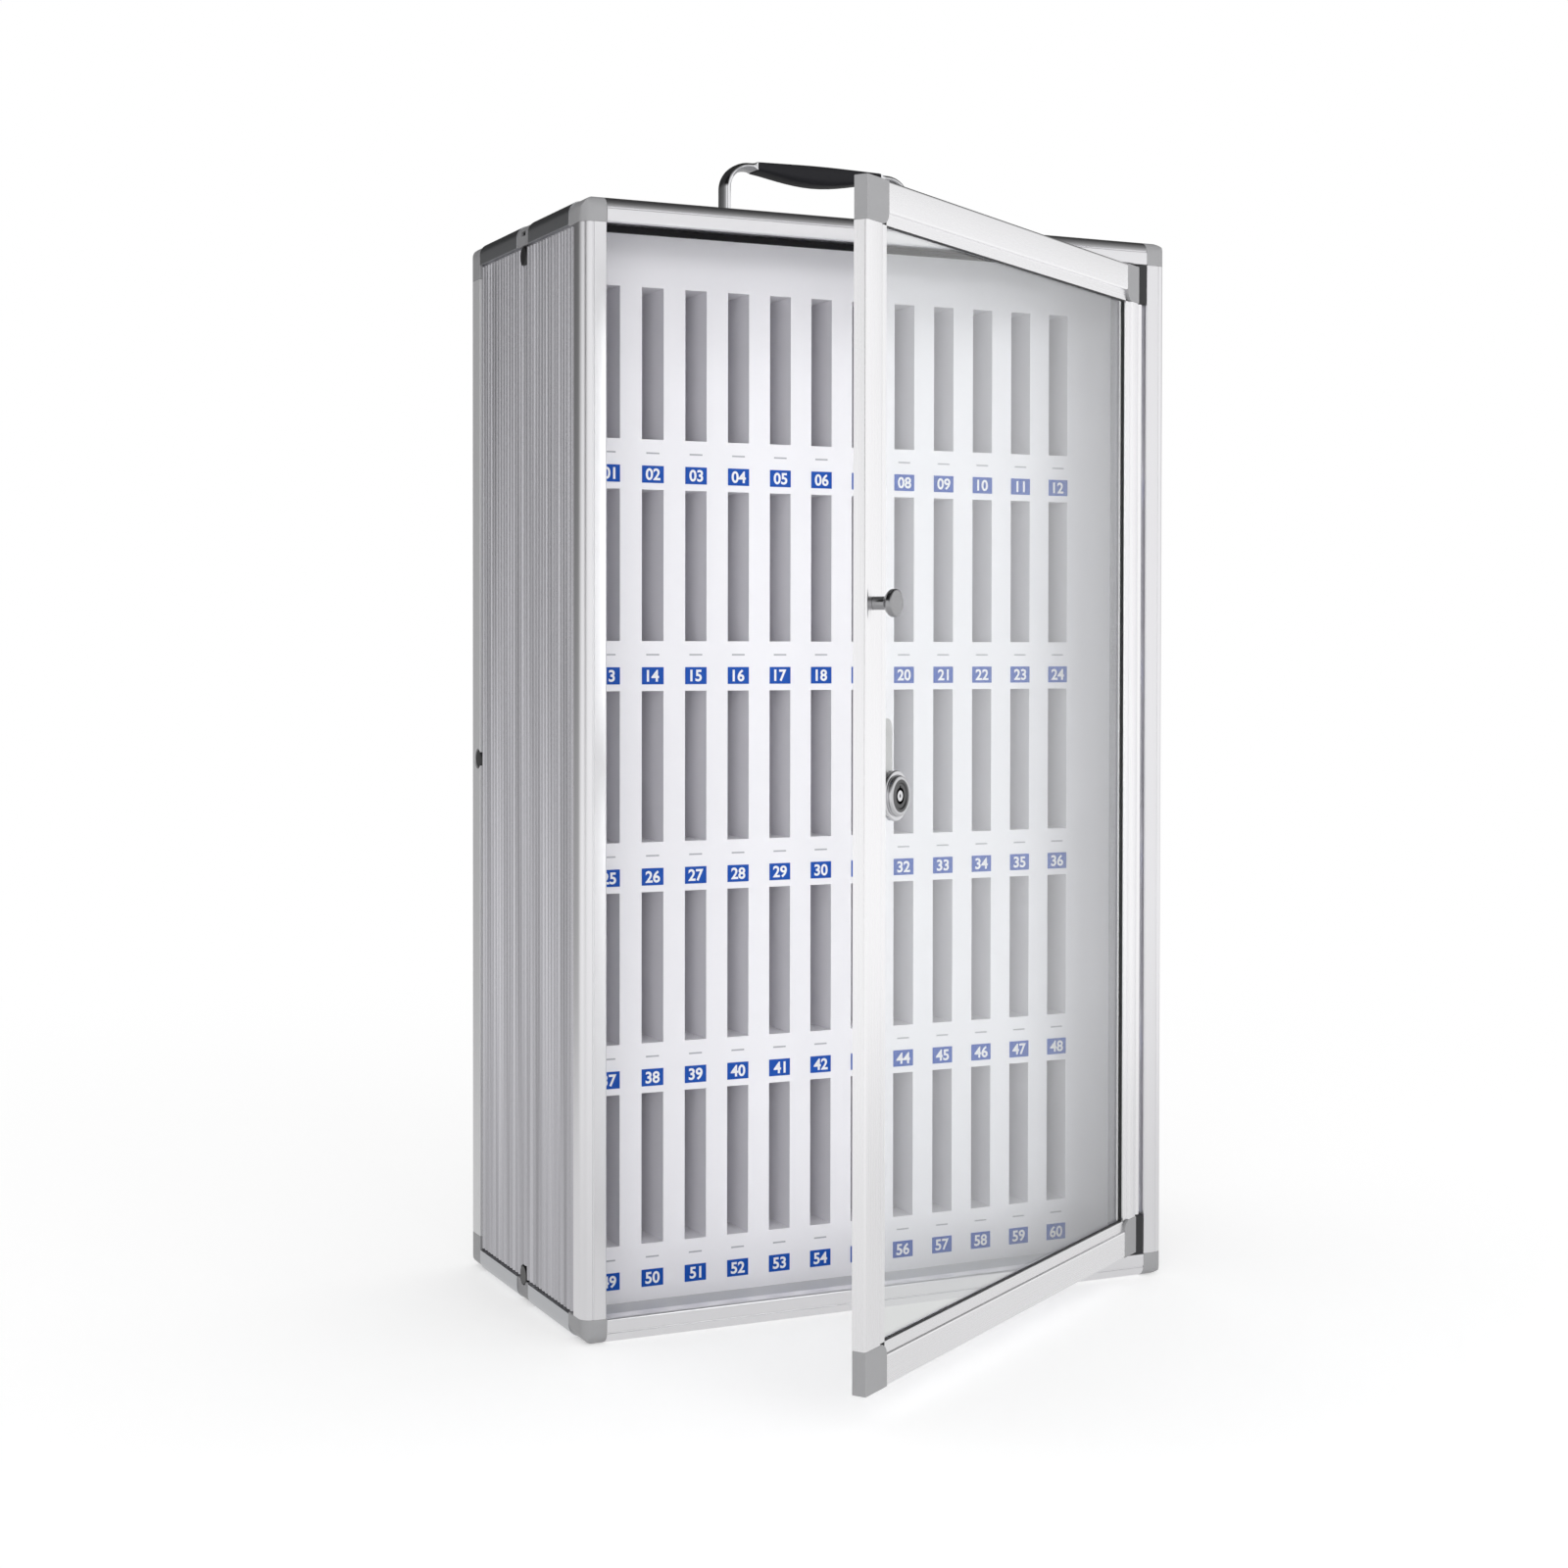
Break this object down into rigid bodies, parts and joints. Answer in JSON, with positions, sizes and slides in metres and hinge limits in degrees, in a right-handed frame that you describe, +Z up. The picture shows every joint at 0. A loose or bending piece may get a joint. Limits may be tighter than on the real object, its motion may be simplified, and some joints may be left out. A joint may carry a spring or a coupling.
{
  "type": "cell phone locker box",
  "caption": "Upright aluminium-framed phone storage box with rows of narrow slots, a hinged glass door with cam lock and knob, and a folding top handle.",
  "frame": {"origin": "centre of the box's base face, on the surface it stands on", "axes": "+Z up the box, -Y out of the door side, +X along the front towards the hinges"},
  "size_m": [0.42, 0.4476, 0.7527],
  "materials": {
    "frame_aluminium": "satin anodised",
    "rail_aluminium": "satin anodised",
    "door_aluminium": "satin anodised",
    "cap_grey": "satin moulded",
    "clip_grey": "satin moulded",
    "ribbed_board": "satin ribbed",
    "plain_board": "satin",
    "slot_sheet": "satin",
    "label_blue": "printed film",
    "rubber_black": "matt",
    "hinge_black": "matt moulded",
    "steel_bright": "bright zinc",
    "knob_steel": "satin turned",
    "handle_chrome": "polished",
    "lock_chrome": "polished",
    "door_glass": "clear tempered",
    "grip_black": "satin moulded"
  },
  "bodies": {
    "cabinet": {"front_top_rail": "frame_aluminium", "front_bottom_rail": "frame_aluminium", "front_left_stile": "frame_aluminium", "front_right_stile": "frame_aluminium", "rear_posts": "frame_aluminium", "rear_rails": "frame_aluminium", "left_edge_rails": "rail_aluminium", "right_edge_rails": "rail_aluminium", "front_corner_caps": "cap_grey", "rear_corner_caps": "cap_grey", "rail_splices": "clip_grey", "panel_plugs": "rubber_black", "top_seal_strip": "rubber_black", "left_side_panel": "ribbed_board", "right_side_panel": "ribbed_board", "top_panel": "plain_board", "bottom_panel": "plain_board", "back_panel": "plain_board", "header_band": "slot_sheet", "shelf_row_1": "slot_sheet", "shelf_row_2": "slot_sheet", "shelf_row_3": "slot_sheet", "shelf_row_4": "slot_sheet", "shelf_row_5": "slot_sheet", "dividers_row_1": "slot_sheet", "dividers_row_2": "slot_sheet", "dividers_row_3": "slot_sheet", "dividers_row_4": "slot_sheet", "dividers_row_5": "slot_sheet", "number_labels": "label_blue", "upper_hinge_block": "hinge_black", "lower_hinge_block": "hinge_black", "hinge_pins": "steel_bright", "handle_brackets": "steel_bright", "bracket_rivets": "steel_bright", "handle_pins": "steel_bright"},
    "door": {"door_top_rail": "door_aluminium", "door_bottom_rail": "door_aluminium", "door_lock_stile": "door_aluminium", "door_hinge_stile": "door_aluminium", "door_corner_caps": "cap_grey", "door_glass": "door_glass", "glazing_gasket": "rubber_black", "door_knob": "knob_steel", "knob_screw": "steel_bright", "lock_body": "lock_chrome", "lock_nut": "steel_bright"},
    "lock": {"lock_plug": "lock_chrome", "lock_cam": "steel_bright", "cam_screw": "steel_bright"},
    "handle": {"handle_bail": "handle_chrome", "handle_grip": "grip_black"}
  },
  "joints": [
    {"name": "door_hinge", "type": "hinge", "parent": "cabinet", "child": "door", "pos_m": [0.189, -0.108, 0.35], "axis": [0, 0, 1], "range_deg": [-34, 66]},
    {"name": "lock_turn", "type": "hinge", "parent": "door", "child": "lock", "pos_m": [-0.09238, -0.30262, 0.3435], "axis": [0.5592, -0.829, 0], "range_deg": [0, 90]},
    {"name": "handle_fold", "type": "hinge", "parent": "cabinet", "child": "handle", "pos_m": [0, 0, 0.709], "axis": [1, 0, 0], "range_deg": [-90, 90]}
  ]
}
